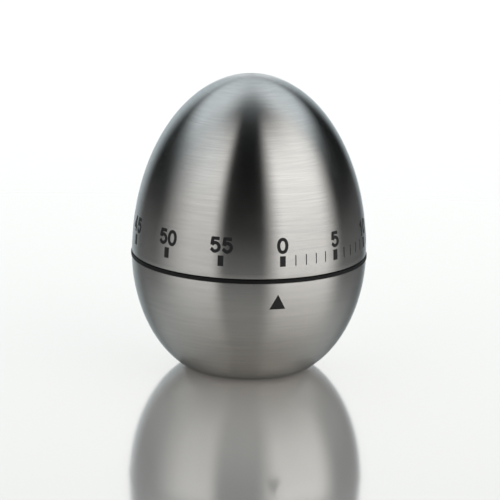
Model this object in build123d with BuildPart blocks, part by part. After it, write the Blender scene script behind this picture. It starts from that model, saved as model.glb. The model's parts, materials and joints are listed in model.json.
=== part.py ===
from build123d import *

import os
from math import acos, cos, degrees, pi, radians, sin, sqrt, tan

# An egg-shaped sixty minute kitchen timer: two brushed steel half shells with a black ring
# between them, standing on a flat base, round a small clockwork with a bell.
# Millimetres, +Z up. The pointer on the lower shell looks along -Y. The upper shell is the
# dial, and turns about the Z axis. Heights are drawn from a datum inside the foot, and every
# piece is lifted by base_drop when it is written out, so that the face it stands on is at zero.

# The egg
egg_radius = 30.0
dome_top = 75.1
seam_low = 28.1  # rim of the lower shell
seam_high = 29.25  # rim of the dome
sheet = 0.6  # steel of both shells
bowl_depth = 32.06  # below the seam, where the bowl's curve would close
bowl_rise = 1.815
bowl_bulge = 2.753
base_drop = 0.9  # the face it stands on lies this far below the datum
foot_height = 0.3  # the base cover lifts the shell's edge this far
foot_low = foot_height - base_drop
foot_round = 4.0
foot_opening = 12.6

# The black body inside, whose top ring shows between the shells
ring_radius = 30.2
ring_top = 29.05
ring_round = 0.15
lip_radii = (26.9, 27.9)
lip_top = 30.6
body_gap = 0.5
body_wall = 1.2
floor_heights = (1.1, 2.1)
shelf_low = 7.4
chamber_radius = 16.9
chamber_wall = 1.0
boss_top = 3.0
boss_radius = 2.6
sound_ring = (4.0, 8.2)  # where the bell is heard, and where the cover's slots are
rib_width = 2.4
slot_size = (3.8, 1.1)
rib_reach = 20.0
seat_radii = (12.9, 15.4)  # ring under the body's floor, which rests on the shell's foot
seat_height = 1.0
cover_radius = 13.6
cover_round = 0.1
cover_plug_gap = 0.2
cover_screw_circle = 10.3
cover_boss_radius = 1.6
cover_boss_height = 0.6
housing_screw_circle = 20.9

# Screws: the radius of a coarse shank and a fine one, and of the heads
coarse = 0.9
fine = 0.8
cover_head = (1.6, 0.5)
cover_sink = (1.8, 0.1)  # clearance round a head, and above it
movement_head = (1.7, 1.0)
bell_head = (2.2, 1.1)
dial_head = (2.6, 1.3)
dial_slot = (0.8, 0.5)
cover_shank_top = 2.6
movement_shank_low = 7.8
bell_shank_low = 1.3
dial_shank_low = 33.4

# Heights in the movement
plate_low = (9.8, 10.8)
plate_high = (23.4, 24.2)
barrel_floor = (11.3, 12.1)
barrel_wall_top = 16.3
barrel_lid_top = 16.8
great_z = (17.3, 18.1)
collar_z = (18.9, 19.7)
second_z = (20.2, 20.8)
third_z = (22.0, 22.6)
escape_z = (14.0, 14.6)
anchor_z = (15.0, 15.7)
weight_z = (18.9, 20.1)
verge_z = (12.7, 13.4)
arm_z = (8.3, 9.0)
cam_z = (25.2, 26.2)
cam_hub_z = (25.0, 27.4)
finger_z = (26.5, 27.3)
hub_z = (27.6, 36.9)
web_z = (33.2, 34.4)
bush_tops = (11.0, 24.9)
shoulder_z = (9.9, 11.05, 22.9, 36.8)  # main arbor: foot, thick part, journal, top
dial_hole_low = 33.0
leaf_z = (25.3, 26.1)
mainspring_z = (12.4, 15.9)
verge_pin_low = 11.4
pallet_pin_low = 13.7
pallet_hub_low = 14.4
pillar_top = 25.5
stop_pin_top = 27.1
post_top = 26.4
stud_cap_top = 26.8
nut_height = 1.0

# Fits: a turning fit, and the hair's breadth left where a piece is pressed or screwed on
turning = 0.04
seated = 0.02
end_play = 0.05
shoulder_play = 0.2  # between a thin arbor's shoulders and the plates

# Toothed wheels
pressure = radians(30)  # wide, so that a pinion of eight leaves needs no undercut
addendum = 0.8
dedendum = 1.05
backlash = 0.06
leaves = 8
great_teeth, great_module = 60, 0.40
second_teeth, second_module = 64, 0.32
third_teeth, third_module = 48, 0.30
pinion_reach = 0.8  # a pinion stands this far past its wheel, above and below
arbor_radius = 0.7
pivot_radius = 0.45

# Escapement and strike: wheels of pointed teeth that rock a pair of pins
escape_teeth, escape_tip, escape_root = 15, 4.6, 3.8
escape_span = 3.5
pallet_pin = 0.22
pallet_clear = 0.12
strike_teeth, strike_tip, strike_root = 30, 12.4, 11.6
strike_span = 1.5
strike_pin = 0.3
strike_clear = 0.15

# Main arbor, and what rides on it
pivot_main = 1.2
arbor_main = 2.25
journal_main = 1.9
flat_depth = 0.6
flat_low = 24.95
bush_radii = (2.2, 3.2)
barrel_inner = 11.0
spring_start, spring_pitch, spring_turns, spring_strip = 3.4, 1.0, 7, 0.3
cam_radius = 7.4
stop_circle = 9.0
stop_pin_radius = 0.5
stop_angle = 270.0
stop_play = 6.0  # the finger rests this many degrees from the pin at both ends of its turn
cam_hub_radius = 3.4

# The dial's insert: hub, web with windows and ribs, and a rim that grips the dome
hub_radius = 4.4
insert_rim_low = 29.6
insert_radii = (28.2, 28.4, 29.25, 29.05)  # inside at the web, inside and outside at the rim, top
window_at = (16.4, 6.4)
rib_size = (24.0, 1.2, 1.8)
rib_circle = 16.3

# Plates, pillars and the lever's spring
plate_radii = (21.8, 20.4)
pillar_radius = 1.5
nut_radius = 1.9
stud_head = 1.4
post_radius = 0.7
leaf_half = 0.1
leaf_play = 0.2
leaf_length = 5.2
lever_tail_at = (4.8, 252)
lever_radii = (1.6, 0.7, 0.8)  # hub, tip and tail
staff_hub = 1.3
hexagon_radius = 1.1  # seat under the pallet's anchor
weight_reach = 3.4
clutch_radii = (2.4, 5.6)
clutch_rise = 0.5
clutch_sheet = 0.3
collar_radius = 3.6

# The bell, and its hammer
bell_radius = 15.0
bell_sheet = 0.8
bell_floor_radius = 10.6
bell_bend_top = 5.6
bell_top = 7.8
head_radius = 1.1
head_circle = 12.2
head_low = 5.9
head_spigot = 0.5
arm_end = 1.0
hammer_reach = 6.0


def polar(radius, angle):
    return (radius * cos(radians(angle)), radius * sin(radians(angle)))


def triangle_angle(near, far, opposite):
    """Angle in degrees between two sides of a triangle, given the side across from it."""
    return degrees(acos((near**2 + far**2 - opposite**2) / (2 * near * far)))


def heading(start, end):
    """Direction in degrees from one point to another."""
    return Vector(1, 0, 0).get_signed_angle(Vector(end) - Vector(start), Vector(0, 0, 1))


def spacing(teeth, module):
    """Distance from a wheel's axis to the axis of the pinion that it drives."""
    return (teeth + leaves) * module / 2


# Where each arbor stands, as its radius and angle round the main arbor. Each wheel's
# distance from the next pinion fixes the angle between them.
second_at = (spacing(great_teeth, great_module), 0.0)
third_circle = 14.2
third_at = (
    third_circle,
    triangle_angle(second_at[0], third_circle, spacing(second_teeth, second_module)),
)
escape_circle = 16.8
escape_at = (
    escape_circle,
    third_at[1] + triangle_angle(third_circle, escape_circle, spacing(third_teeth, third_module)),
)
pallet_circle = escape_tip + pallet_clear + pallet_pin
pallet_half = escape_span * 180 / escape_teeth
pallet_distance = pallet_circle / cos(radians(pallet_half))
pallet_at = (
    escape_circle,
    escape_at[1] + triangle_angle(escape_circle, escape_circle, pallet_distance),
)
hammer_at = (15.2, 215.0)
strike_circle = strike_tip + strike_clear + strike_pin
strike_half = strike_span * 180 / strike_teeth
lever_at = (14.0, 158.0)
train = {"second": second_at, "third": third_at, "escape": escape_at, "pallet": pallet_at}
pillar_circle = 17.5
pillars_at = [polar(pillar_circle, angle) for angle in (128, 182, 254, 308)]
housing_screws_at = [polar(housing_screw_circle, angle) for angle in (30, 150, 270)]


def bowl_radius(z, inset=0.0):
    """Radius of the lower shell at a height, or of a wall that lies this far inside it."""
    depth = (seam_low - z) / bowl_depth
    rest = 1 - depth**bowl_rise
    lean = egg_radius * bowl_rise * depth ** (bowl_rise - 1) * rest ** (1 / bowl_bulge - 1)
    slope = lean / (bowl_bulge * bowl_depth)
    return egg_radius * rest ** (1 / bowl_bulge) - inset * sqrt(1 + slope**2)


def bowl_line(inset, low, high, count=9):
    """A curve along the bowl's wall, from its lower end to its upper one."""
    heights = [low + (high - low) * step / (count - 1) for step in range(count)]
    return Spline(*[(bowl_radius(z, inset), z) for z in heights])


def dome_line(inset, count=9):
    """A quarter of the dome's ellipse, or of a smaller one inside it, from rim to top."""
    angles = [pi / 2 * step / (count - 1) for step in range(count)]
    half_width = egg_radius - inset
    height = dome_top - seam_high - inset
    points = [(half_width * cos(angle), seam_high + height * sin(angle)) for angle in angles]
    return Spline(*points, tangents=[(0, 1), (-1, 0)])


def at(place, z):
    """A level plane, centred on a point given by its radius and angle."""
    return Plane(origin=(*polar(*place), z))


def stack(place, steps):
    """Coaxial cylinders, each given as its radius, lowest and highest point."""
    for radius, low, high in steps:
        with Locations((*polar(*place), low)):
            Cylinder(radius, high - low, align=(Align.CENTER, Align.CENTER, Align.MIN))


def bored(place, radius, low, high):
    """A round hole through the current part."""
    with BuildSketch(at(place, low)) as hole:
        Circle(radius)
    extrude(hole.sketch, amount=high - low, mode=Mode.SUBTRACT)


def link(start, end, radii, heights):
    """A flat arm between two points, round at each end."""
    with BuildSketch(Plane.XY.offset(heights[0])) as outline:
        with Locations(start):
            Circle(radii[0])
        with Locations(end):
            Circle(radii[1])
        make_hull()
    extrude(outline.sketch, amount=heights[1] - heights[0])


def tooth_half(teeth, module, radius):
    """Half the angle that an involute tooth takes up at a radius."""
    base = teeth * module / 2 * cos(pressure)
    unrolled = tan(pressure) - pressure
    reach = acos(min(1.0, base / radius))
    middle = pi / 2 / teeth - backlash / (teeth * module)
    return degrees(middle + unrolled - (tan(reach) - reach))


def involute_outline(teeth, module, tooth_at):
    """Corners of a toothed wheel that has the middle of a tooth at this angle."""
    pitch = teeth * module / 2
    sides = [pitch + module * part for part in (-dedendum, -0.5, 0, addendum / 2, addendum)]
    points = []
    for tooth in range(teeth):
        middle = tooth_at + 360 / teeth * tooth
        points += [polar(r, middle - tooth_half(teeth, module, r)) for r in sides]
        points += [polar(r, middle + tooth_half(teeth, module, r)) for r in reversed(sides)]
    return points


def pointed_outline(teeth, tip, root, tooth_at):
    """Corners of a wheel of narrow pointed teeth."""
    pitch = 360 / teeth
    points = []
    for tooth in range(teeth):
        middle = tooth_at + pitch * tooth
        for radius, share in ((root, -0.28), (tip, -0.05), (tip, 0.05), (root, 0.28)):
            points.append(polar(radius, middle + share * pitch))
    return points


def train_wheel(place, outline, heights, bore, windows, window_circle, window_radius):
    """A thin wheel with round windows between its hub and its rim."""
    with BuildPart() as made:
        with BuildSketch(at(place, heights[0])):
            with BuildLine():
                Polyline(*outline, close=True)
            make_face()
            Circle(bore, mode=Mode.SUBTRACT)
            with PolarLocations(window_circle, windows):
                Circle(window_radius, mode=Mode.SUBTRACT)
        extrude(amount=heights[1] - heights[0])
    return made


def arbor(place, outline, heights):
    """A pivoted arbor with its pinion's leaves cut from one piece."""
    with BuildPart() as made:
        stack(
            place,
            [
                (pivot_radius, plate_low[0], plate_low[1] + shoulder_play),
                (arbor_radius, plate_low[1] + shoulder_play, plate_high[0] - shoulder_play),
                (pivot_radius, plate_high[0] - shoulder_play, plate_high[1]),
            ],
        )
        with BuildSketch(at(place, heights[0])):
            with BuildLine():
                Polyline(*outline, close=True)
            make_face()
        extrude(amount=heights[1] - heights[0])
    return made


def slotted_screws(points, shank_radius, head_radius, shank, head, facing=1):
    """Cheese-head screws, with their slots facing up (1) or down (-1)."""
    slot_depth = 0.4 * (head[1] - head[0])
    slot_low = head[1] - slot_depth if facing == 1 else head[0]
    with BuildPart() as made:
        with BuildSketch(Plane.XY.offset(shank[0])):
            with Locations(*points):
                Circle(shank_radius)
        extrude(amount=shank[1] - shank[0])
        with BuildSketch(Plane.XY.offset(head[0])):
            with Locations(*points):
                Circle(head_radius)
        extrude(amount=head[1] - head[0])
        with BuildSketch(Plane.XY.offset(slot_low)):
            with Locations(*points):
                Rectangle(2 * head_radius, 0.3 * head_radius)
        extrude(amount=slot_depth, mode=Mode.SUBTRACT)
    return made


def pins(points, radius, heights):
    with BuildPart() as made:
        with BuildSketch(Plane.XY.offset(heights[0])):
            with Locations(*points):
                Circle(radius)
        extrude(amount=heights[1] - heights[0])
    return made


def anchor(place, points, pin_radius, hub_radius, heights):
    """Two arms from a staff to a pair of pins."""
    with BuildPart() as made:
        for point in points:
            link(polar(*place), point, (hub_radius, pin_radius + 0.4), heights)
        with BuildSketch(Plane.XY.offset(heights[0])):
            with Locations(*points):
                Circle(pin_radius + seated)
        extrude(amount=heights[1] - heights[0], mode=Mode.SUBTRACT)
        bored(place, arbor_radius + seated, *heights)
    return made


def round_edges(piece, height, radius, size):
    """Round the circular edge of this height and radius."""
    rings = piece.edges().filter_by(GeomType.CIRCLE).filter_by_position(Axis.Z, height, height)
    return fillet([ring for ring in rings if abs(ring.radius - radius) < 0.01], size)


# ------------------------------------------------------------------ the case

with BuildPart() as lower_shell:
    with BuildSketch(Plane.XZ):
        with BuildLine():
            outside = bowl_line(0.0, foot_low, seam_low)
            inside = bowl_line(sheet, foot_low + sheet, seam_low)
            Line(outside @ 1, inside @ 1)
            Polyline(
                inside @ 0,
                (foot_opening, foot_low + sheet),
                (foot_opening, foot_low),
                outside @ 0,
            )
        make_face()
    revolve(axis=Axis.Z)
    round_edges(lower_shell, foot_low, bowl_radius(foot_low), foot_round)

with BuildPart() as inner_housing:
    with BuildSketch(Plane.XZ):
        with BuildLine():
            outer_wall = bowl_line(sheet + body_gap, shelf_low, seam_low)
            inner_wall = bowl_line(sheet + body_gap + body_wall, plate_low[0], seam_low)
            Polyline(
                outer_wall @ 1,
                (ring_radius, seam_low),
                (ring_radius, ring_top),
                (lip_radii[1], ring_top),
                (lip_radii[1], lip_top),
                (lip_radii[0], lip_top),
                (lip_radii[0], seam_low),
                inner_wall @ 1,
            )
            Polyline(
                inner_wall @ 0,
                (chamber_radius, plate_low[0]),
                (chamber_radius, floor_heights[1]),
                (0, floor_heights[1]),
                (0, floor_heights[0]),
                (chamber_radius, floor_heights[0]),
                (chamber_radius + chamber_wall, floor_heights[1]),
                (chamber_radius + chamber_wall, shelf_low),
                outer_wall @ 0,
            )
        make_face()
    revolve(axis=Axis.Z)
    round_edges(inner_housing, seam_low, ring_radius, ring_round)
    round_edges(inner_housing, ring_top, ring_radius, ring_round)
    with BuildSketch(Plane.XY.offset(floor_heights[0])):  # windows for the bell's sound
        Circle(sound_ring[1])
        Circle(sound_ring[0], mode=Mode.SUBTRACT)
        with PolarLocations(0, 3, start_angle=30):
            Rectangle(rib_reach, rib_width, align=(Align.MIN, Align.CENTER), mode=Mode.SUBTRACT)
    extrude(amount=floor_heights[1] - floor_heights[0], mode=Mode.SUBTRACT)
    with BuildSketch(Plane.XY.offset(floor_heights[0] - seat_height)):
        Circle(seat_radii[1])
        Circle(seat_radii[0], mode=Mode.SUBTRACT)
    extrude(amount=seat_height)
    with BuildSketch(Plane.XY.offset(floor_heights[1])):  # bosses for the bell and the cover
        Circle(boss_radius)
    extrude(amount=boss_top - floor_heights[1])
    with BuildSketch(Plane.XY.offset(floor_heights[1])):
        with PolarLocations(cover_screw_circle, 3, start_angle=90):
            Circle(cover_boss_radius)
    extrude(amount=cover_boss_height)
    with BuildSketch(Plane.XY.offset(floor_heights[0])):
        Circle(coarse + seated)
        with PolarLocations(cover_screw_circle, 3, start_angle=90):
            Circle(fine + seated)
    extrude(amount=boss_top - floor_heights[0], mode=Mode.SUBTRACT)
    with BuildSketch(Plane.XY.offset(shelf_low)):
        with Locations(*housing_screws_at):
            Circle(coarse + seated)
    extrude(amount=plate_low[0] - shelf_low, mode=Mode.SUBTRACT)

cover_screws_at = [polar(cover_screw_circle, angle) for angle in (90, 210, 330)]
cover_bottom = Plane.XY.offset(-base_drop)
cover_height = base_drop + floor_heights[0]
plug_radius = foot_opening - cover_plug_gap
with BuildPart() as base_cover:
    stack((0, 0), [(cover_radius, -base_drop, foot_low), (plug_radius, foot_low, floor_heights[0])])
    with BuildSketch(cover_bottom):
        with PolarLocations(sum(sound_ring) / 2, 12, start_angle=15):
            SlotOverall(*slot_size)
    extrude(amount=cover_height, mode=Mode.SUBTRACT)
    with BuildSketch(cover_bottom):
        with Locations(*cover_screws_at):
            Circle(fine + seated)
    extrude(amount=cover_height, mode=Mode.SUBTRACT)
    with BuildSketch(cover_bottom):
        with Locations(*cover_screws_at):
            Circle(cover_sink[0])
    extrude(amount=cover_head[1] + cover_sink[1], mode=Mode.SUBTRACT)
    round_edges(base_cover, -base_drop, cover_radius, cover_round)

cover_head_low = cover_sink[1] - base_drop
cover_head_z = (cover_head_low, cover_head_low + cover_head[1])
base_screws = slotted_screws(
    cover_screws_at, fine, cover_head[0], (cover_head_z[1], cover_shank_top), cover_head_z, facing=-1
)
movement_screws = slotted_screws(
    housing_screws_at,
    coarse,
    movement_head[0],
    (movement_shank_low, plate_low[1]),
    (plate_low[1], plate_low[1] + movement_head[1]),
)

with BuildPart() as bell:
    with BuildSketch(Plane.XZ):
        with BuildLine():
            bend = (bell_radius - bell_floor_radius, bell_bend_top - boss_top)
            middle = (bell_floor_radius, bell_bend_top)
            outer_bend = EllipticalCenterArc(middle, *bend, start_angle=270, arc_size=90)
            inner_bend = EllipticalCenterArc(
                middle, bend[0] - bell_sheet, bend[1] - bell_sheet, start_angle=270, arc_size=90
            )
            Polyline(
                outer_bend @ 1,
                (bell_radius, bell_top),
                (bell_radius - bell_sheet, bell_top),
                inner_bend @ 1,
            )
            Polyline(
                inner_bend @ 0,
                (coarse + seated, boss_top + bell_sheet),
                (coarse + seated, boss_top),
                outer_bend @ 0,
            )
        make_face()
    revolve(axis=Axis.Z)

bell_seat = boss_top + bell_sheet
bell_screw = slotted_screws(
    [(0, 0)], coarse, bell_head[0], (bell_shank_low, bell_seat), (bell_seat, bell_seat + bell_head[1])
)

# ------------------------------------------------------------------ plates and what they carry

stop_at = (stop_circle, stop_angle)
lever_tail = Vector(*polar(*lever_at)) + Vector(*polar(*lever_tail_at))
spring_side = Vector(*polar(1, 342))
leaf_tip = lever_tail + spring_side * (lever_radii[2] + leaf_half + leaf_play)
leaf_foot = leaf_tip + Vector(*polar(leaf_length, 285))
post_at = leaf_foot + spring_side * (post_radius + leaf_half)

with BuildPart() as lower_plate:
    stack((0, 0), [(plate_radii[0], *plate_low)])
    bored((0, 0), bush_radii[0] + seated, *plate_low)
    for place in train.values():
        bored(place, pivot_radius + turning, *plate_low)
    bored(hammer_at, arbor_radius + turning, *plate_low)
    with BuildSketch(Plane.XY.offset(plate_low[0])):
        with Locations(*pillars_at, *housing_screws_at):
            Circle(coarse + seated)
    extrude(amount=plate_low[1] - plate_low[0], mode=Mode.SUBTRACT)

with BuildPart() as upper_plate:
    stack((0, 0), [(plate_radii[1], *plate_high)])
    bored((0, 0), bush_radii[1] + seated, *plate_high)
    for place in [*train.values(), hammer_at]:
        bored(place, pivot_radius + turning, *plate_high)
    bored(stop_at, stop_pin_radius + seated, *plate_high)
    bored(lever_at, fine + seated, *plate_high)
    with BuildSketch(Plane.XY.offset(plate_high[0])):
        with Locations(*pillars_at):
            Circle(coarse + seated)
        with Locations(post_at):
            Circle(post_radius + seated)
    extrude(amount=plate_high[1] - plate_high[0], mode=Mode.SUBTRACT)

with BuildPart() as plate_pillars:
    for point in pillars_at:
        for radius, low, high in (
            (coarse, plate_low[0], plate_low[1]),
            (pillar_radius, plate_low[1], plate_high[0]),
            (coarse, plate_high[0], pillar_top),
        ):
            with Locations((*point, low)):
                Cylinder(radius, high - low, align=(Align.CENTER, Align.CENTER, Align.MIN))

with BuildPart() as pillar_nuts:
    with BuildSketch(Plane.XY.offset(plate_high[1])):
        with Locations(*pillars_at):
            RegularPolygon(nut_radius, 6)
            Circle(coarse + seated, mode=Mode.SUBTRACT)
    extrude(amount=nut_height)

with BuildPart() as arbor_bushes:
    lower_bush = (plate_low[0], bush_tops[0])
    upper_bush = (plate_high[0], bush_tops[1])
    stack((0, 0), [(bush_radii[0], *lower_bush), (bush_radii[1], *upper_bush)])
    bored((0, 0), pivot_main + turning, *lower_bush)
    bored((0, 0), journal_main + turning, *upper_bush)

stop_pin = pins([polar(*stop_at)], stop_pin_radius, (plate_high[0], stop_pin_top))

with BuildPart() as lever_stud:
    stack(
        lever_at,
        [
            (fine, plate_high[0], post_top),
            (stud_head, plate_high[1], cam_z[0] - end_play),
            (stud_head, cam_z[1] + end_play, stud_cap_top),
        ],
    )

with BuildPart() as spring_post:
    with BuildSketch(Plane.XY.offset(plate_high[0])):
        with Locations(post_at):
            Circle(post_radius)
    extrude(amount=post_top - plate_high[0])

with BuildPart() as lever_spring:
    link(leaf_foot, leaf_tip, (leaf_half, leaf_half), leaf_z)

# ------------------------------------------------------------------ the dial and the main arbor

with BuildPart() as dome_shell:
    with BuildSketch(Plane.XZ):
        with BuildLine():
            outer = dome_line(0)
            inner = dome_line(sheet)
            Line(outer @ 0, inner @ 0)
            Line(outer @ 1, inner @ 1)
        make_face()
    revolve(axis=Axis.Z)

with BuildPart() as main_arbor:
    low, thick, journal, top = shoulder_z
    stack((0, 0), [(pivot_main, low, thick), (arbor_main, thick, journal), (journal_main, journal, top)])
    with BuildSketch(Plane.XY.offset(flat_low)):  # the flat that carries the cam and the dial
        with Locations((0, -journal_main)):
            Rectangle(2 * journal_main, 2 * flat_depth)
    extrude(amount=top - flat_low, mode=Mode.SUBTRACT)
    bored((0, 0), fine + seated, dial_hole_low, top)


def flat_bore(low, high):
    """The D-shaped hole that fits the arbor's flat."""
    with BuildSketch(Plane.XY.offset(low)) as hole:
        Circle(journal_main + seated)
        with Locations((0, -journal_main - seated)):
            Rectangle(2 * arbor_main, 2 * flat_depth, mode=Mode.SUBTRACT)
    extrude(hole.sketch, amount=high - low, mode=Mode.SUBTRACT)


with BuildPart() as dial_insert:
    with BuildSketch(Plane.XZ):
        with BuildLine():
            Polyline(
                (0, hub_z[0]),
                (hub_radius, hub_z[0]),
                (hub_radius, web_z[0]),
                (insert_radii[0], web_z[0]),
                (insert_radii[1], insert_rim_low),
                (insert_radii[2], insert_rim_low),
                (insert_radii[3], web_z[1]),
                (hub_radius, web_z[1]),
                (hub_radius, hub_z[1]),
                (0, hub_z[1]),
                close=True,
            )
        make_face()
    revolve(axis=Axis.Z)
    with BuildSketch(Plane.XY.offset(web_z[0])):
        with PolarLocations(window_at[0], 6, start_angle=30):
            Circle(window_at[1])
    extrude(amount=web_z[1] - web_z[0], mode=Mode.SUBTRACT)
    for rib in range(6):  # stiffening ribs under the web, between its windows
        with BuildSketch(Plane.XY.offset(web_z[0] - rib_size[2])):
            with PolarLocations(0, 1, start_angle=60 * rib):
                with Locations((rib_circle, 0)):
                    Rectangle(*rib_size[:2])
        extrude(amount=rib_size[2])
    flat_bore(*hub_z)

with BuildPart() as dial_screw:
    head_top = hub_z[1] + dial_head[1]
    stack((0, 0), [(fine, dial_shank_low, hub_z[1]), (dial_head[0], hub_z[1], head_top)])
    with BuildSketch(Plane.XY.offset(head_top - dial_slot[1])):
        Rectangle(2 * dial_head[0], dial_slot[0])
    extrude(amount=dial_slot[1], mode=Mode.SUBTRACT)

great_wheel = train_wheel(
    (0, 0),
    involute_outline(great_teeth, great_module, second_at[1]),
    great_z,
    arbor_main + seated,
    5,
    7.2,
    2.5,
)

with BuildPart() as clutch_spring:
    with BuildSketch(Plane.XZ):
        with BuildLine():
            inner, outer = clutch_radii
            Polyline(
                (inner, great_z[1] + clutch_rise),
                (inner, great_z[1] + clutch_rise + clutch_sheet),
                (outer, great_z[1] + clutch_sheet),
                (outer, great_z[1]),
                close=True,
            )
        make_face()
    revolve(axis=Axis.Z)

with BuildPart() as clutch_collar:
    stack((0, 0), [(collar_radius, *collar_z)])
    bored((0, 0), arbor_main + seated, *collar_z)

lever_tip = (cam_radius + 0.85, 126.0)
drop = 6.0  # the lever's tip turns this far into the notch when the hour is up
stud_point = Vector(*polar(*lever_at))
dropped = stud_point + (Vector(*polar(*lever_tip)) - stud_point).rotate(Axis.Z, -drop)
finger_angle = stop_angle - stop_play

with BuildPart() as release_cam:
    stack((0, 0), [(cam_radius, *cam_z), (cam_hub_radius, *cam_hub_z)])
    link((0, 0), polar(stop_circle + 0.7, finger_angle), (1.2, 0.32), finger_z)
    for notch in (Vector(*polar(*lever_tip)), dropped):
        with BuildSketch(Plane.XY.offset(cam_z[0])):
            with Locations(notch):
                Circle(1.15)
        extrude(amount=cam_z[1] - cam_z[0], mode=Mode.SUBTRACT)
    flat_bore(*cam_hub_z)

# ------------------------------------------------------------------ the mainspring and strike

with BuildPart() as strike_barrel:
    with BuildSketch(Plane.XY.offset(barrel_floor[0])):
        with BuildLine():
            Polyline(*pointed_outline(strike_teeth, strike_tip, strike_root, hammer_at[1]), close=True)
        make_face()
        Circle(arbor_main + turning, mode=Mode.SUBTRACT)
    extrude(amount=barrel_floor[1] - barrel_floor[0])
    with BuildSketch(Plane.XY.offset(barrel_floor[1])):
        Circle(strike_root)
        Circle(barrel_inner, mode=Mode.SUBTRACT)
    extrude(amount=barrel_wall_top - barrel_floor[1])

with BuildPart() as barrel_lid:
    stack((0, 0), [(strike_root, barrel_wall_top, barrel_lid_top)])
    bored((0, 0), arbor_main + turning, barrel_wall_top, barrel_lid_top)


def spiral(shift):
    """The mainspring's line, moved out by this much."""
    turns = [step / 8 for step in range(8 * spring_turns + 1)]
    return Spline(*[polar(spring_start + spring_pitch * turn + shift, 360 * turn) for turn in turns])


with BuildPart() as mainspring:
    with BuildSketch(Plane.XY.offset(mainspring_z[0])):
        with BuildLine():
            near = spiral(-spring_strip / 2)
            far = spiral(spring_strip / 2)
            Line(near @ 0, far @ 0)
            Line(near @ 1, far @ 1)
        make_face()
    extrude(amount=mainspring_z[1] - mainspring_z[0])

strike_pins_at = [polar(strike_circle, hammer_at[1] + side * strike_half) for side in (-1, 1)]
hammer_verge = anchor(hammer_at, strike_pins_at, strike_pin, staff_hub, verge_z)
hammer_pins = pins(strike_pins_at, strike_pin, (verge_pin_low, verge_z[1]))
head_at = (head_circle, hammer_at[1] - triangle_angle(hammer_at[0], head_circle, hammer_reach))

with BuildPart() as hammer_staff:
    shoulder = plate_high[0] - shoulder_play
    stack(hammer_at, [(arbor_radius, arm_z[0], shoulder), (pivot_radius, shoulder, plate_high[1])])

with BuildPart() as hammer_arm:
    link(polar(*hammer_at), polar(*head_at), (staff_hub, arm_end), arm_z)
    bored(hammer_at, arbor_radius + seated, *arm_z)
    bored(head_at, head_spigot + seated, *arm_z)

with BuildPart() as hammer_head:
    stack(head_at, [(head_radius, head_low, arm_z[0]), (head_spigot, *arm_z)])

# ------------------------------------------------------------------ the going train

pinion_z = {
    name: (low - pinion_reach / 2, high + pinion_reach / 2)
    for name, (low, high) in (("second", great_z), ("third", second_z), ("escape", third_z))
}


def pinion_outline(module, place, driver):
    """Leaves placed so that a gap faces the tooth of the wheel that drives them."""
    back = heading(polar(*place), polar(*driver)) if driver else place[1] + 180
    return involute_outline(leaves, module, back + 180 / leaves)


second_arbor = arbor(second_at, pinion_outline(great_module, second_at, None), pinion_z["second"])
third_arbor = arbor(third_at, pinion_outline(second_module, third_at, second_at), pinion_z["third"])
escape_arbor = arbor(escape_at, pinion_outline(third_module, escape_at, third_at), pinion_z["escape"])
second_wheel = train_wheel(
    second_at,
    involute_outline(second_teeth, second_module, heading(polar(*second_at), polar(*third_at))),
    second_z,
    arbor_radius + seated,
    5,
    6.0,
    2.2,
)
third_wheel = train_wheel(
    third_at,
    involute_outline(third_teeth, third_module, heading(polar(*third_at), polar(*escape_at))),
    third_z,
    arbor_radius + seated,
    4,
    4.0,
    1.6,
)
pallet_way = heading(polar(*escape_at), polar(*pallet_at))
escape_wheel = train_wheel(
    escape_at,
    pointed_outline(escape_teeth, escape_tip, escape_root, pallet_way),
    escape_z,
    arbor_radius + seated,
    4,
    2.3,
    0.8,
)
escape_point = Vector(*polar(*escape_at))
pallet_pins_at = [
    escape_point + Vector(*polar(pallet_circle, pallet_way + side * pallet_half)) for side in (-1, 1)
]
pallet_anchor = anchor(pallet_at, pallet_pins_at, pallet_pin, staff_hub, anchor_z)
pallet_pins = pins(pallet_pins_at, pallet_pin, (pallet_pin_low, anchor_z[1]))
pallet_hub = [polar(hexagon_radius, 60 * corner) for corner in range(6)]
pallet_staff = arbor(pallet_at, pallet_hub, (pallet_hub_low, anchor_z[0]))

with BuildPart() as pallet_weight:
    pallet_point = Vector(*polar(*pallet_at))
    ends = [pallet_point + Vector(*polar(weight_reach, pallet_at[1] + side)) for side in (90, -90)]
    link(*ends, (staff_hub, staff_hub), weight_z)
    bored(pallet_at, arbor_radius + seated, *weight_z)

# ------------------------------------------------------------------ the lever that lets it ring

with BuildPart() as release_lever:
    link(polar(*lever_at), polar(*lever_tip), lever_radii[:2], cam_z)
    link(polar(*lever_at), lever_tail, lever_radii[::2], cam_z)
    bored(lever_at, fine + turning, *cam_z)

# ------------------------------------------------------------------ written out

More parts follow.
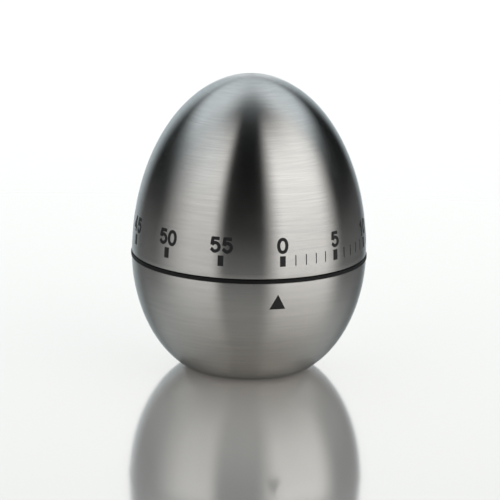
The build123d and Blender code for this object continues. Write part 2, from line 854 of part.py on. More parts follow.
pieces = {
    "lower_shell": lower_shell,
    "inner_housing": inner_housing,
    "base_cover": base_cover,
    "base_screws": base_screws,
    "movement_screws": movement_screws,
    "bell": bell,
    "bell_screw": bell_screw,
    "lower_plate": lower_plate,
    "upper_plate": upper_plate,
    "plate_pillars": plate_pillars,
    "pillar_nuts": pillar_nuts,
    "arbor_bushes": arbor_bushes,
    "stop_pin": stop_pin,
    "lever_stud": lever_stud,
    "spring_post": spring_post,
    "lever_spring": lever_spring,
    "dome_shell": dome_shell,
    "dial_insert": dial_insert,
    "dial_screw": dial_screw,
    "main_arbor": main_arbor,
    "great_wheel": great_wheel,
    "clutch_spring": clutch_spring,
    "clutch_collar": clutch_collar,
    "release_cam": release_cam,
    "strike_barrel": strike_barrel,
    "barrel_lid": barrel_lid,
    "mainspring": mainspring,
    "hammer_staff": hammer_staff,
    "hammer_verge": hammer_verge,
    "hammer_pins": hammer_pins,
    "hammer_arm": hammer_arm,
    "hammer_head": hammer_head,
    "second_arbor": second_arbor,
    "second_wheel": second_wheel,
    "third_arbor": third_arbor,
    "third_wheel": third_wheel,
    "escape_arbor": escape_arbor,
    "escape_wheel": escape_wheel,
    "pallet_staff": pallet_staff,
    "pallet_anchor": pallet_anchor,
    "pallet_pins": pallet_pins,
    "pallet_weight": pallet_weight,
    "release_lever": release_lever,
}

os.makedirs("parts", exist_ok=True)
for node, piece in pieces.items():
    lifted = piece.part.moved(Location((0, 0, base_drop)))
    lifted.label = node
    export_step(lifted, f"parts/{node}.step")

print("joint positions in mm")
for name, place in {**train, "hammer": hammer_at, "lever": lever_at}.items():
    print(name, [round(value, 6) for value in polar(*place)])
print("train", round(great_teeth / leaves * second_teeth / leaves * third_teeth / leaves, 6))
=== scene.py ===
import json
import math

import bmesh
import bpy
from mathutils import Matrix, Vector


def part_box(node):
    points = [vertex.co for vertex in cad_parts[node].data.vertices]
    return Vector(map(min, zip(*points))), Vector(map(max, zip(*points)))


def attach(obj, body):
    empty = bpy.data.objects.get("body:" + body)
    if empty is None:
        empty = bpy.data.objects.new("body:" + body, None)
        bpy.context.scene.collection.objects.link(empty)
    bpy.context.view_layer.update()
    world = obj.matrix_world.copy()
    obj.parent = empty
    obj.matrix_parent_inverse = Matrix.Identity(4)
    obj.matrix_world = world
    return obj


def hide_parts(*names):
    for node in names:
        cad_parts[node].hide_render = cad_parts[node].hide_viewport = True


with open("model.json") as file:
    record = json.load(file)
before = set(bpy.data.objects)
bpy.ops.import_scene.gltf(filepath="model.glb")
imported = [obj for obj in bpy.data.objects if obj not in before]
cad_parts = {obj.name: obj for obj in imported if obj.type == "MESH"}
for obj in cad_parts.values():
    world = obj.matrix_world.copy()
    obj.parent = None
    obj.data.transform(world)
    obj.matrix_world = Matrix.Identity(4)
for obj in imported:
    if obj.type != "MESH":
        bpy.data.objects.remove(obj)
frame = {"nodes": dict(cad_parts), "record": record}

mm = 0.001
scene = bpy.context.scene
record = frame["record"]
nodes = frame["nodes"]
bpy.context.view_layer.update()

domeLow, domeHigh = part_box("dome_shell")
bowlLow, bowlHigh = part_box("lower_shell")
eggRadius = domeHigh.x
print("frame loaded, egg", round(2 * eggRadius / mm, 2), "by", round(domeHigh.z / mm, 2), "mm")


# short ways to write shader nodes
def nodeTree(owner):
    owner.use_nodes = True
    tree = owner.node_tree
    tree.nodes.clear()
    return tree


def addNode(tree, kind, inputs=None, **settings):
    node = tree.nodes.new(kind)
    for key, value in settings.items():
        setattr(node, key, value)
    for key, value in (inputs or {}).items():
        if isinstance(value, bpy.types.NodeSocket):
            tree.links.new(value, node.inputs[key])
        else:
            node.inputs[key].default_value = value
    return node


def maths(tree, operation, *values):
    inputs = dict(enumerate(values))
    return addNode(tree, "ShaderNodeMath", inputs, operation=operation).outputs[0]


def fitRange(tree, value, fromLow, fromHigh, toLow=0.0, toHigh=1.0, smooth=False):
    kind = "SMOOTHSTEP" if smooth else "LINEAR"
    inputs = {"Value": value, "From Min": fromLow, "From Max": fromHigh,
              "To Min": toLow, "To Max": toHigh}
    return addNode(tree, "ShaderNodeMapRange", inputs, interpolation_type=kind).outputs["Result"]


def mixColor(tree, factor, first, second, blend="MIX"):
    node = addNode(tree, "ShaderNodeMix", {0: factor}, data_type="RGBA", blend_type=blend)
    for key, value in ((6, first), (7, second)):  # the two colour sockets
        if isinstance(value, bpy.types.NodeSocket):
            tree.links.new(value, node.inputs[key])
        else:
            node.inputs[key].default_value = (*value, 1)
    return node.outputs[2]


def addBump(tree, surface, height, strength, distance):
    bump = addNode(tree, "ShaderNodeBump", {
        "Strength": strength, "Distance": distance, "Height": height})
    tree.links.new(bump.outputs[0], surface.inputs["Normal"])


def objectPlace(tree):
    return addNode(tree, "ShaderNodeTexCoord").outputs["Object"]


def newGroup(name, inputs, outputs):
    group = bpy.data.node_groups.new(name, "ShaderNodeTree")
    for label, value in inputs.items():
        socket = group.interface.new_socket(label, in_out="INPUT", socket_type="NodeSocketFloat")
        socket.default_value = value
    for label in outputs:
        group.interface.new_socket(label, in_out="OUTPUT", socket_type="NodeSocketFloat")
    return group, group.nodes.new("NodeGroupInput"), group.nodes.new("NodeGroupOutput")


def useGroup(tree, group, **values):
    node = addNode(tree, "ShaderNodeGroup", node_tree=group)
    for key, value in values.items():
        node.inputs[key].default_value = value
    return node


turnedLook = {
    "linesPerMm": 6.0,
    "reach": 6.0,  # how often a line changes on its way round
    "layers": {"fine": (1.0, 1.0), "broad": (0.22, 0.35)},  # shares of the two above
    "detail": 2.0,
    "breakUp": 0.65,
    "spread": (0.25, 0.75),
}


def buildTurnedGrain(look=turnedLook):
    # lines left by brushing round the Z axis: fine and broad ones, 0 to 1
    inputs = {key: look[key] for key in ("linesPerMm", "reach")}
    group, given, made = newGroup("turnedGrain", inputs, look["layers"])
    split = addNode(group, "ShaderNodeSeparateXYZ", {0: objectPlace(group)})
    flat = addNode(group, "ShaderNodeCombineXYZ", {
        0: split.outputs[0], 1: split.outputs[1]}).outputs[0]
    radius = addNode(group, "ShaderNodeVectorMath", {0: flat}, operation="LENGTH").outputs["Value"]
    around = addNode(group, "ShaderNodeVectorMath", {0: flat}, operation="NORMALIZE").outputs[0]
    turn = addNode(group, "ShaderNodeSeparateXYZ", {0: around})
    perMetre = maths(group, "MULTIPLY", given.outputs["linesPerMm"], 1 / mm)
    height = maths(group, "MULTIPLY", split.outputs[2], perMetre)
    outward = maths(group, "MULTIPLY", radius, perMetre)
    for label, (share, length) in look["layers"].items():
        reach = maths(group, "MULTIPLY", given.outputs["reach"], length)
        spot = addNode(group, "ShaderNodeCombineXYZ", {
            0: maths(group, "MULTIPLY", height, share),
            1: maths(group, "MULTIPLY", outward, share),
            2: maths(group, "MULTIPLY", turn.outputs[0], reach),
        }).outputs[0]
        side = maths(group, "MULTIPLY", turn.outputs[1], reach)
        noise = addNode(group, "ShaderNodeTexNoise", {
            "Vector": spot, "W": side, "Scale": 1.0,
            "Detail": look["detail"], "Roughness": look["breakUp"],
        }, noise_dimensions="4D")
        group.links.new(fitRange(group, noise.outputs[0], *look["spread"]), made.inputs[label])
    return group


handlingLook = {
    "size": 90.0,  # blotches in a metre
    "detail": 4.0,
    "breakUp": 0.6,
    "spread": (0.42, 0.72),
}


def buildHandling(look=handlingLook):
    # smudges left by fingers, 0 to 1
    group, given, made = newGroup("handling", {"size": look["size"]}, ("smudge",))
    cloud = addNode(group, "ShaderNodeTexNoise", {
        "Vector": objectPlace(group), "Scale": given.outputs["size"],
        "Detail": look["detail"], "Roughness": look["breakUp"],
    }).outputs[0]
    smudge = fitRange(group, cloud, *look["spread"], smooth=True)
    group.links.new(smudge, made.inputs["smudge"])
    return group


rolledLook = {
    "linesPerMm": 5.0,
    "alongPerMetre": 60.0,
    "lineDetail": 2.0,
    "lineSpread": (0.3, 0.7),
    "cloudSize": 260.0,
    "cloudDetail": 5.0,
    "cloudSpread": (0.35, 0.7),
}


def buildRolledGrain(look=rolledLook):
    # straight grain of rolled sheet, along X
    inputs = {"linesPerMm": look["linesPerMm"]}
    group, given, made = newGroup("rolledGrain", inputs, ("lines", "cloud"))
    place = objectPlace(group)
    perMetre = maths(group, "MULTIPLY", given.outputs["linesPerMm"], 1 / mm)
    stretch = addNode(group, "ShaderNodeCombineXYZ", {
        0: look["alongPerMetre"], 1: perMetre, 2: perMetre}).outputs[0]
    spot = addNode(group, "ShaderNodeVectorMath", {
        0: place, 1: stretch}, operation="MULTIPLY").outputs[0]
    grain = addNode(group, "ShaderNodeTexNoise", {
        "Vector": spot, "Scale": 1.0, "Detail": look["lineDetail"]})
    lines = fitRange(group, grain.outputs[0], *look["lineSpread"])
    group.links.new(lines, made.inputs["lines"])
    cloud = addNode(group, "ShaderNodeTexNoise", {
        "Vector": place, "Scale": look["cloudSize"], "Detail": look["cloudDetail"]})
    blotches = fitRange(group, cloud.outputs[0], *look["cloudSpread"])
    group.links.new(blotches, made.inputs["cloud"])
    return group


turnedGrain = buildTurnedGrain()
handling = buildHandling()
rolledGrain = buildRolledGrain()


def shader(name, **sockets):
    material = bpy.data.materials.new(name)
    tree = nodeTree(material)
    out = addNode(tree, "ShaderNodeOutputMaterial")
    surface = addNode(tree, "ShaderNodeBsdfPrincipled")
    for key, value in sockets.items():
        surface.inputs[key.replace("_", " ")].default_value = value
    tree.links.new(surface.outputs[0], out.inputs[0])
    return material, tree, surface


shellFinish = {
    "light": (0.67, 0.662, 0.645),
    "dark": (0.53, 0.53, 0.525),
    "rough": (0.235, 0.19),  # in the dark lines and in the light ones
    "linesPerMm": 4.4,
    "reach": 2.6,
    "toneShares": {"broad": 0.35, "fine": 0.65},
    "smudgeSize": 70.0,
    "smudgeRough": 0.03,
    "anisotropic": 0.9,
    "anisotropicTurn": 0.25,  # streaks reflections up and down, across the brushing
    "bump": (0.03, 0.04 * mm),
    "edgeTint": (0.62, 0.65, 0.67, 1),
}


def brushedShell(look=shellFinish):
    material, tree, surface = shader(
        "brushedShell", Metallic=1.0, Anisotropic=look["anisotropic"],
        Anisotropic_Rotation=look["anisotropicTurn"], Specular_Tint=look["edgeTint"])
    grain = useGroup(tree, turnedGrain, linesPerMm=look["linesPerMm"], reach=look["reach"])
    marks = useGroup(tree, handling, size=look["smudgeSize"])
    shares = look["toneShares"]
    tone = maths(tree, "MULTIPLY_ADD", grain.outputs["broad"], shares["broad"],
                 maths(tree, "MULTIPLY", grain.outputs["fine"], shares["fine"]))
    color = mixColor(tree, tone, look["dark"], look["light"])
    tree.links.new(color, surface.inputs["Base Color"])
    rough = fitRange(tree, tone, 0.0, 1.0, *look["rough"])
    rough = maths(tree, "MULTIPLY_ADD", marks.outputs["smudge"], look["smudgeRough"], rough)
    tree.links.new(rough, surface.inputs["Roughness"])
    addBump(tree, surface, grain.outputs["fine"], *look["bump"])
    tangent = addNode(tree, "ShaderNodeTangent", direction_type="RADIAL", axis="Z")
    tree.links.new(tangent.outputs[0], surface.inputs["Tangent"])
    return material


plasticFinish = {
    "clean": (0.006, 0.0065, 0.007),
    "handled": (0.011, 0.012, 0.0125),
    "smudgeSize": 160.0,
    "ior": 1.45,
    "shine": 0.3,
    "pebbleSize": 5200.0,
    "pebbleDetail": 2.0,
    "pebbleSpread": (0.3, 0.7),
    "rough": (0.42, 0.56),
    "bump": (0.25, 0.02 * mm),
}


def blackPlastic(look=plasticFinish):
    material, tree, surface = shader(
        "blackPlastic", IOR=look["ior"], Specular_IOR_Level=look["shine"])
    marks = useGroup(tree, handling, size=look["smudgeSize"])
    pebble = addNode(tree, "ShaderNodeTexNoise", {
        "Vector": objectPlace(tree), "Scale": look["pebbleSize"], "Detail": look["pebbleDetail"]})
    color = mixColor(tree, marks.outputs["smudge"], look["clean"], look["handled"])
    tree.links.new(color, surface.inputs["Base Color"])
    rough = fitRange(tree, pebble.outputs[0], *look["pebbleSpread"], *look["rough"])
    tree.links.new(rough, surface.inputs["Roughness"])
    addBump(tree, surface, pebble.outputs[0], *look["bump"])
    return material


# light colour, dark colour, roughness in the valleys and on the ridges of the grain
sheetFinish = {
    "linesPerMm": 5.0,
    "bump": (0.12, 0.03 * mm),
    "brass": ((0.80, 0.61, 0.31), (0.66, 0.47, 0.21), (0.22, 0.36)),
}
turnedFinish = {
    "linesPerMm": 7.0,
    "reach": 3.0,
    "smudgeSize": 220.0,
    "bump": (0.1, 0.03 * mm),
    "platedSteel": ((0.74, 0.74, 0.71), (0.62, 0.62, 0.60), (0.14, 0.24)),
    "brightSteel": ((0.60, 0.60, 0.60), (0.48, 0.48, 0.49), (0.22, 0.34)),
    "springSteel": ((0.20, 0.23, 0.33), (0.12, 0.14, 0.22), (0.24, 0.36)),
    "bellSteel": ((0.76, 0.75, 0.72), (0.66, 0.65, 0.62), (0.10, 0.18)),
}


def finishMetal(tree, surface, finish, bump, spots, ridges):
    light, dark, rough = finish
    tree.links.new(mixColor(tree, spots, light, dark), surface.inputs["Base Color"])
    tree.links.new(fitRange(tree, ridges, 0.0, 1.0, *rough), surface.inputs["Roughness"])
    addBump(tree, surface, ridges, *bump)


def sheetMetal(name, look=sheetFinish):
    material, tree, surface = shader(name, Metallic=1.0)
    grain = useGroup(tree, rolledGrain, linesPerMm=look["linesPerMm"])
    finishMetal(tree, surface, look[name], look["bump"], grain.outputs["cloud"],
                grain.outputs["lines"])
    return material


def turnedMetal(name, look=turnedFinish):
    material, tree, surface = shader(name, Metallic=1.0)
    grain = useGroup(tree, turnedGrain, linesPerMm=look["linesPerMm"], reach=look["reach"])
    marks = useGroup(tree, handling, size=look["smudgeSize"])
    finishMetal(tree, surface, look[name], look["bump"], marks.outputs["smudge"],
                grain.outputs["fine"])
    return material


inkFinish = {
    "dark": (0.009, 0.010, 0.011),
    "light": (0.016, 0.017, 0.018),
    "rough": (0.42, 0.55),
    "linesPerMm": 5.0,
    "reach": 5.0,
    "ior": 1.45,
}


def printedInk(look=inkFinish):
    material, tree, surface = shader("printedInk", IOR=look["ior"])
    grain = useGroup(tree, turnedGrain, linesPerMm=look["linesPerMm"], reach=look["reach"])
    color = mixColor(tree, grain.outputs["fine"], look["dark"], look["light"])
    tree.links.new(color, surface.inputs["Base Color"])
    rough = fitRange(tree, grain.outputs["fine"], 0.0, 1.0, *look["rough"])
    tree.links.new(rough, surface.inputs["Roughness"])
    return material


slotMaterials = {
    "brushed_shell": brushedShell(),
    "black_plastic": blackPlastic(),
    "brass": sheetMetal("brass"),
    "plated_steel": turnedMetal("platedSteel"),
    "bright_steel": turnedMetal("brightSteel"),
    "spring_steel": turnedMetal("springSteel"),
    "bell_steel": turnedMetal("bellSteel"),
}
ink = printedInk()

for part in record["subparts"]:
    mesh = nodes[part["node"]].data
    mesh.materials.clear()
    mesh.materials.append(slotMaterials[part["material_slot"]])
print("materials on", len(record["subparts"]), "nodes")


shells = {
    "wall": 0.6 * mm,
    "around": 240,
    "along": 56,
    "rimRound": 0.12 * mm,
    "rimSegments": 3,
    "rimNear": 0.02 * mm,  # how near an edge lies to the rim's height
    "rimBand": 0.1 * mm,  # and to the outer radius
    "bowlDepth": 32.06 * mm,  # below the seam, where the bowl's curve would close
    "bowlRise": 1.815,
    "bowlBulge": 2.753,
    "footRound": 1.0 * mm,
    "footSegments": 6,
    "footOpening": 12.6 * mm,
    "footNear": 0.01 * mm,
    "footBeyond": 1.1,  # the foot's corner is past this many openings
}


def domeRadius(z):
    share = min(1.0, (z - domeLow.z) / (domeHigh.z - domeLow.z))
    return eggRadius * math.sqrt(max(0.0, 1 - share**2))


def bowlRadius(z, look=shells):
    depth = max(0.0, (bowlHigh.z - z) / look["bowlDepth"])
    return eggRadius * (1 - depth ** look["bowlRise"]) ** (1 / look["bowlBulge"])


def makePiece(name, bm, material, body, replaced=None, sharp=35):
    for face in bm.faces:
        face.smooth = True
    for edge in bm.edges:
        if len(edge.link_faces) == 2 and edge.calc_face_angle(0) > math.radians(sharp):
            edge.smooth = False
    mesh = bpy.data.meshes.new(name)
    bm.to_mesh(mesh)
    bm.free()
    mesh.materials.append(material)
    piece = bpy.data.objects.new(name, mesh)
    scene.collection.objects.link(piece)
    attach(piece, body)
    if replaced:
        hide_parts(replaced)


def spinShell(bm, line, look=shells):
    # turns a line of points in the XZ plane once round the Z axis
    points = [bm.verts.new((radius, 0, z)) for radius, z in line]
    edges = [bm.edges.new(pair) for pair in zip(points, points[1:])]
    bmesh.ops.spin(bm, geom=points + edges, cent=(0, 0, 0), axis=(0, 0, 1), angle=math.tau,
                   steps=look["around"], use_merge=True)
    bmesh.ops.remove_doubles(bm, verts=bm.verts, dist=0.001 * mm)
    bmesh.ops.recalc_face_normals(bm, faces=bm.faces)


def roundEdges(bm, edges, offset, segments):
    bmesh.ops.bevel(bm, geom=edges, offset=offset, segments=segments, profile=0.5,
                    affect="EDGES", material=-1)


def edgeRadius(edge):
    return min(math.hypot(vert.co.x, vert.co.y) for vert in edge.verts)


def roundRim(bm, height, look=shells):
    # softens the outer corner of a shell's open end
    rim = [edge for edge in bm.edges
           if max(abs(vert.co.z - height) for vert in edge.verts) < look["rimNear"]
           and edgeRadius(edge) > eggRadius - look["rimBand"]]
    roundEdges(bm, rim, look["rimRound"], look["rimSegments"])


def makeDome(look=shells):
    bm = bmesh.new()
    angles = [math.pi / 2 * step / look["along"] for step in range(look["along"] + 1)]
    height = domeHigh.z - domeLow.z
    line = [(eggRadius * math.cos(a), domeLow.z + height * math.sin(a)) for a in angles]
    line[-1] = (0.0, domeHigh.z)
    spinShell(bm, line)
    bmesh.ops.solidify(bm, geom=bm.faces[:], thickness=look["wall"])
    roundRim(bm, domeLow.z)
    steel = slotMaterials["brushed_shell"]
    makePiece("domeSkin", bm, steel, "dial", "dome_shell")


def makeBowl(look=shells):
    bm = bmesh.new()
    depth = bowlHigh.z - bowlLow.z
    line = []
    for step in range(look["along"] + 1):
        z = bowlHigh.z - depth * (1 - math.cos(math.pi / 2 * step / look["along"]))
        line.append((bowlRadius(z), z))
    line.append((look["footOpening"], bowlLow.z))
    spinShell(bm, line)
    beyond = look["footBeyond"] * look["footOpening"]
    foot = [edge for edge in bm.edges
            if max(abs(vert.co.z - bowlLow.z) for vert in edge.verts) < look["footNear"]
            and edgeRadius(edge) > beyond]
    roundEdges(bm, foot, look["footRound"], look["footSegments"])
    bmesh.ops.solidify(bm, geom=bm.faces[:], thickness=look["wall"])
    roundRim(bm, bowlHigh.z)
    steel = slotMaterials["brushed_shell"]
    makePiece("bowlSkin", bm, steel, "case", "lower_shell")


makeDome()
makeBowl()
print("shells made")


# heights are from the dome's rim, angles in degrees
scale = {
    "zeroAt": 2.0,  # from the pointer, round towards +X
    "numbers": 12,
    "numberStep": 30,
    "bar": (1.48 * mm, 3.1 * mm, 5.75 * mm),  # width, foot, head
    "tick": (0.26 * mm, 3.15 * mm, 5.8 * mm),
    "tickStep": 5.6,
    "tickStart": 6.6,
    "tickMinutes": 15,
    "barRows": 6,
    "digitFoot": 6.3 * mm,
    "digitHeight": 4.05 * mm,
    "digitWidth": 2.95 * mm,
    "digitStep": 3.08 * mm,
    "stroke": 0.84 * mm,
    "curveSteps": 10,
    "ink": 0.02 * mm,
    "longestEdge": 0.7 * mm,
}
# heights are from the bowl's rim
pointer = {"apex": -2.85 * mm, "foot": -6.75 * mm, "width": 4.1 * mm}

# centre lines of the figures, in shares of the width and height between the strokes' middles
figures = {
    "0": [("loop", (0.5, 1), (0, 0.5), (0.5, 0), (1, 0.5))],
    "1": [("line", (0.62, -0.11), (0.62, 1.11)),
          ("curve", (0.02, 0.78), (0.42, 0.86), (0.6, 1.08))],
    "2": [("curve", (0.04, 0.72), (0.5, 1), (0.95, 0.72), (0.66, 0.36), (0.08, 0.02)),
          ("line", (-0.13, 0), (1.1, 0))],
    "3": [("curve", (0.06, 0.78), (0.48, 1), (0.93, 0.76), (0.42, 0.53)),
          ("curve", (0.42, 0.53), (1, 0.27), (0.48, 0), (0, 0.23))],
    "4": [("line", (0.7, -0.11), (0.7, 1.11)), ("line", (-0.14, 0.27), (1.14, 0.27)),
          ("line", (0.62, 1.02), (0, 0.27))],
    "5": [("line", (0.12, 1), (1.02, 1)), ("line", (0.22, 1.08), (0.1, 0.47)),
          ("curve", (0.12, 0.52), (0.55, 0.665), (1, 0.33), (0.5, 0), (0, 0.21))],
}


def strokeCurve(kind, points, width, height, look=scale):
    data = bpy.data.curves.new("stroke", "CURVE")
    data.dimensions = "2D"
    data.fill_mode = "NONE"
    data.resolution_u = look["curveSteps"]
    if kind == "line":
        spline = data.splines.new("POLY")
        spline.points.add(len(points) - 1)
        for dot, (x, y) in zip(spline.points, points):
            dot.co = (x * width, y * height, 0, 1)
    else:
        spline = data.splines.new("BEZIER")
        spline.bezier_points.add(len(points) - 1)
        for dot, (x, y) in zip(spline.bezier_points, points):
            dot.co = (x * width, y * height, 0)
            dot.handle_left_type = dot.handle_right_type = "AUTO"
        spline.use_cyclic_u = kind == "loop"
    return data


def ribbonProfile(width):
    # a short straight line, which gives a stroke its width
    data = bpy.data.curves.new("ribbon", "CURVE")
    data.dimensions = "2D"
    spline = data.splines.new("POLY")
    spline.points.add(1)
    spline.points[0].co = (-width / 2, 0, 0, 1)
    spline.points[1].co = (width / 2, 0, 0, 1)
    ribbon = bpy.data.objects.new("ribbon", data)
    scene.collection.objects.link(ribbon)
    return ribbon


def drawText(bm, text, look, ribbon):
    # flat figures, centred on X = 0 and standing on Y = 0
    stroke = look["stroke"]
    width, height = look["digitWidth"] - stroke, look["digitHeight"] - stroke
    for place, letter in enumerate(text):
        left = (place - (len(text) - 1) / 2) * look["digitStep"] - width / 2
        for kind, *points in figures[letter]:
            data = strokeCurve(kind, points, width, height)
            data.bevel_mode = "OBJECT"
            data.bevel_object = ribbon
            holder = bpy.data.objects.new("holder", data)
            scene.collection.objects.link(holder)
            graph = bpy.context.evaluated_depsgraph_get()
            mesh = bpy.data.meshes.new_from_object(holder.evaluated_get(graph))
            mesh.transform(Matrix.Translation((left, stroke / 2, 0)))
            bm.from_mesh(mesh)
            bpy.data.meshes.remove(mesh)
            bpy.data.objects.remove(holder)


def wrapOn(bm, radiusAt, rim, azimuth, lift=scale["ink"]):
    # bends flat work round the egg, X along the girth and Y up from a shell's rim
    for vert in bm.verts:
        height = rim + vert.co.y
        angle = math.radians(azimuth) + vert.co.x / radiusAt(height)
        out = radiusAt(height) + lift
        vert.co = Vector((out * math.sin(angle), -out * math.cos(angle), height))


def flatBar(bm, width, low, high, look=scale):
    made = bmesh.ops.create_grid(bm, x_segments=2, y_segments=look["barRows"], size=0.5)
    bmesh.ops.scale(bm, verts=made["verts"], vec=(width, high - low, 1))
    bmesh.ops.translate(bm, verts=made["verts"], vec=(0, (low + high) / 2, 0))


def refine(bm, look=scale):
    # three halvings are enough for the longest stroke
    for _ in range(3):
        edges = [edge for edge in bm.edges if edge.calc_length() > look["longestEdge"]]
        if edges:
            bmesh.ops.subdivide_edges(bm, edges=edges, cuts=1, use_grid_fill=True)


def joinInto(target, source):
    mesh = bpy.data.meshes.new("joined")
    source.to_mesh(mesh)
    source.free()
    target.from_mesh(mesh)
    bpy.data.meshes.remove(mesh)


def finishInk(bm, look=scale):
    bmesh.ops.remove_doubles(bm, verts=bm.verts, dist=0.001 * mm)
    for face in bm.faces:
        middle = face.calc_center_median()
        if face.normal.dot(Vector((middle.x, middle.y, 0))) < 0:
            face.normal_flip()
    bmesh.ops.solidify(bm, geom=bm.faces[:], thickness=look["ink"])


def makeScale(look=scale):
    bars = bmesh.new()
    numberTurns = [look["zeroAt"] + look["numberStep"] * number
                   for number in range(look["numbers"])]
    for turn in numberTurns:
        one = bmesh.new()
        flatBar(one, *look["bar"])
        wrapOn(one, domeRadius, domeLow.z, turn)
        joinInto(bars, one)
    for minute in range(look["tickMinutes"]):
        number, past = divmod(minute, 5)
        if past:
            one = bmesh.new()
            flatBar(one, *look["tick"])
            turn = look["tickStart"] + look["tickStep"] * (past - 1)
            wrapOn(one, domeRadius, domeLow.z, numberTurns[number] + turn)
            joinInto(bars, one)
    finishInk(bars)
    makePiece("scaleBars", bars, ink, "dial")

    digits = bmesh.new()
    ribbon = ribbonProfile(look["stroke"])
    for number, turn in enumerate(numberTurns):
        one = bmesh.new()
        drawText(one, str(5 * number), look, ribbon)
        bmesh.ops.translate(one, verts=one.verts, vec=(0, look["digitFoot"], 0))
        refine(one)
        wrapOn(one, domeRadius, domeLow.z, turn)
        joinInto(digits, one)
    bpy.data.objects.remove(ribbon)
    finishInk(digits)
    makePiece("scaleFigures", digits, ink, "dial")


def makePointer(look=pointer):
    bm = bmesh.new()
    bmesh.ops.create_circle(bm, cap_ends=True, segments=3, radius=1)
    across = [vert.co.x for vert in bm.verts]
    along = [vert.co.y for vert in bm.verts]
    width = look["width"] / (max(across) - min(across))
    height = (look["apex"] - look["foot"]) / (max(along) - min(along))
    bmesh.ops.scale(bm, verts=bm.verts, vec=(width, height, 1))
    low = min(vert.co.y for vert in bm.verts)
    bmesh.ops.translate(bm, verts=bm.verts, vec=(0, look["foot"] - low, 0))
    refine(bm)
    wrapOn(bm, bowlRadius, bowlHigh.z, 0)
    finishInk(bm)
    makePiece("pointerMark", bm, ink, "case")


makeScale()
makePointer()
print("scale and pointer printed")


floorLook = {
    "radius": 3.0,
    "segments": 96,
    "drop": 0.02 * mm,  # under the base, so that the two faces don't fight
    "facing": (0.2, 0.8),  # seen from above, and along the floor, as are the next two pairs: painted shade makes the floor darker seen from above, painted sheen makes it paler and more metallic seen along it
    "color": ((0.64, 0.612, 0.575), (0.83, 0.822, 0.812)),
    "gloss": (0.2, 0.64),
    "rough": 0.1,
    "glow": ((1.0, 0.94, 0.88, 1), 0.05),  # painted glow: the floor gives off a little warm light of its own, which lifts its shadows
    "cloud": {"Scale": 3.0, "Detail": 2.0},
    "shade": (0.97, 0.97, 0.97),
}


def makeFloor(look=floorLook):
    bm = bmesh.new()
    bmesh.ops.create_circle(bm, cap_ends=True, segments=look["segments"], radius=look["radius"])
    bmesh.ops.translate(bm, verts=bm.verts, vec=(0, 0, -look["drop"]))
    mesh = bpy.data.meshes.new("floor")
    bm.to_mesh(mesh)
    bm.free()
    # painted glow: a faint warm emission on the floor fills the shadow around the egg's foot
    paintedGlowColor, glow = look["glow"]
    material, tree, surface = shader("paleFloor", Roughness=look["rough"],
                                     Emission_Color=paintedGlowColor, Emission_Strength=glow)
    place = objectPlace(tree)
    cloud = addNode(tree, "ShaderNodeTexNoise", {"Vector": place, **look["cloud"]}).outputs[0]
    # painted shade and sheen: the floor's colour is darker where it is seen from above, and paler
    # and more metallic where it is seen along it
    facing = addNode(tree, "ShaderNodeLayerWeight", {"Blend": 0.5}).outputs["Facing"]
    along = fitRange(tree, facing, *look["facing"])
    color = mixColor(tree, along, *look["color"])
    shade = mixColor(tree, 1.0, color, look["shade"], "MULTIPLY")
    tree.links.new(mixColor(tree, cloud, shade, color), surface.inputs["Base Color"])
    gloss = fitRange(tree, along, 0.0, 1.0, *look["gloss"])
    tree.links.new(gloss, surface.inputs["Metallic"])
    mesh.materials.append(material)
    floor = bpy.data.objects.new("floor", mesh)
    scene.collection.objects.link(floor)


# Angles are in degrees, round the egg from the camera's side, positive to its right, and up from
# the floor. A light starts, is full, fades and ends, round and up; one for both sides is mirrored.
studio = {
    "cameraSide": -14.45,
    "lights": {
        "leftBox": {"round": (-108, -56, -38, -23), "up": (-42, 24, 42, 80),
                    "power": 0.98, "warm": True},
        "leftUpper": {"round": (-122, -84, -56, -40), "up": (14, 36, 46, 80), "power": 0.8},
        "rightBox": {"round": (11, 36, 76, 106), "up": (-45, 25, 38, 80),
                     "power": 1.34, "warm": True},
        "rightUpper": {"round": (40, 60, 86, 112), "up": (10, 28, 38, 76),
                       "power": 1.2, "warm": True},
        "ceiling": {"both": True, "round": (80, 106, 180, 181), "up": (20, 42, 60, 95),
                    "power": 0.92},
        "top": {"both": True, "round": (-2, -1, 180, 181), "up": (66, 90, 90, 91), "power": 0.14},
        "leftWall": {"round": (-181, -180, -164, -132), "up": (-30, -20, 24, 44), "power": 0.95},
        "rightWall": {"round": (144, 172, 180, 181), "up": (-30, -20, 22, 40), "power": 0.92},
        "backdrop": {"both": True, "round": (168, 175, 180, 181), "up": (-30, -20, 20, 28),
                     "power": 1.31, "warm": True},
    },
    "ambient": 0.003,
    "warm": (1.0, 0.983, 0.955),
    "cool": (0.9, 0.985, 1.02),
}


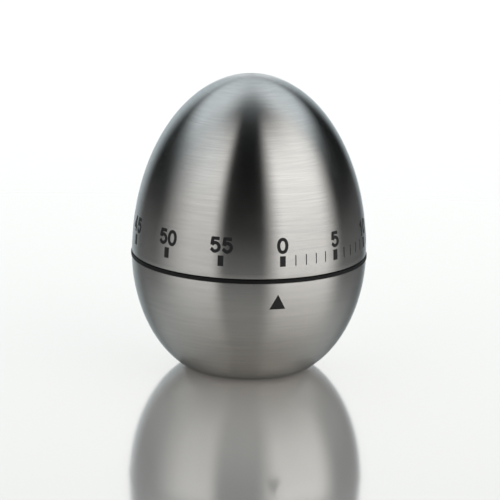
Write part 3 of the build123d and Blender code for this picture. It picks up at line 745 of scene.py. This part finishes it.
def makeWorld(look=studio):
    world = bpy.data.worlds.new("studio")
    scene.world = world
    tree = nodeTree(world)
    out = addNode(tree, "ShaderNodeOutputWorld")
    back = addNode(tree, "ShaderNodeBackground")
    tree.links.new(back.outputs[0], out.inputs[0])
    place = addNode(tree, "ShaderNodeTexCoord").outputs["Generated"]
    turned = addNode(tree, "ShaderNodeVectorRotate", {
        "Vector": place, "Angle": math.radians(-look["cameraSide"])}, rotation_type="Z_AXIS")
    axes = addNode(tree, "ShaderNodeSeparateXYZ", {0: turned.outputs[0]})
    towards = maths(tree, "MULTIPLY", axes.outputs[1], -1.0)
    around = maths(tree, "DEGREES", maths(tree, "ARCTAN2", axes.outputs[0], towards))
    upwards = maths(tree, "DEGREES", maths(tree, "ARCSINE", axes.outputs[2]))
    eitherSide = maths(tree, "ABSOLUTE", around)

    def window(angle, starts, full, fading, ends):
        rise = fitRange(tree, angle, starts, full, 0.0, 1.0, smooth=True)
        fall = fitRange(tree, angle, fading, ends, 1.0, 0.0, smooth=True)
        return maths(tree, "MULTIPLY", rise, fall)

    glow = {"warm": 0.0, "cool": look["ambient"]}
    for light in look["lights"].values():
        kind = "warm" if "warm" in light else "cool"
        beside = window(eitherSide if "both" in light else around, *light["round"])
        shape = maths(tree, "MULTIPLY", beside, window(upwards, *light["up"]))
        power = maths(tree, "MULTIPLY", shape, light["power"])
        glow[kind] = maths(tree, "MAXIMUM", power, glow[kind])
    total = maths(tree, "MAXIMUM", glow["warm"], glow["cool"])
    both = maths(tree, "ADD", glow["warm"], glow["cool"])
    share = maths(tree, "DIVIDE", glow["warm"], both)
    tree.links.new(total, back.inputs["Strength"])
    tree.links.new(mixColor(tree, share, look["cool"], look["warm"]), back.inputs["Color"])


cameraLook = {
    "distance": 0.8322,
    "above": 8.05 * mm,  # the point it circles, from the dome's rim
    "aimRight": 0.27 * mm,
    "elevation": 13.6,
    "roll": 1.08,
    "lens": 234.2,
    "sensor": 36,
    "clip": (0.05, 20),
}


def makeCamera(look=cameraLook):
    turn, rise = math.radians(studio["cameraSide"]), math.radians(look["elevation"])
    back = Vector((math.sin(turn) * math.cos(rise), -math.cos(turn) * math.cos(rise),
                   math.sin(rise)))
    data = bpy.data.cameras.new("camera")
    data.lens = look["lens"]
    data.sensor_width = look["sensor"]
    data.clip_start, data.clip_end = look["clip"]
    camera = bpy.data.objects.new("camera", data)
    scene.collection.objects.link(camera)
    spot = Vector((0, 0, domeLow.z + look["above"])) + back * look["distance"]
    right = Vector((math.cos(turn), math.sin(turn), 0))
    aim = Vector((0, 0, domeLow.z)) + right * look["aimRight"] - spot
    facing = aim.to_track_quat("-Z", "Y").to_matrix()
    roll = Matrix.Rotation(math.radians(look["roll"]), 3, "Z")
    camera.matrix_world = Matrix.Translation(spot) @ (facing @ roll).to_4x4()
    scene.camera = camera


scene.view_settings.view_transform = "Standard"
makeFloor()
makeWorld()
makeCamera()
print("studio ready")
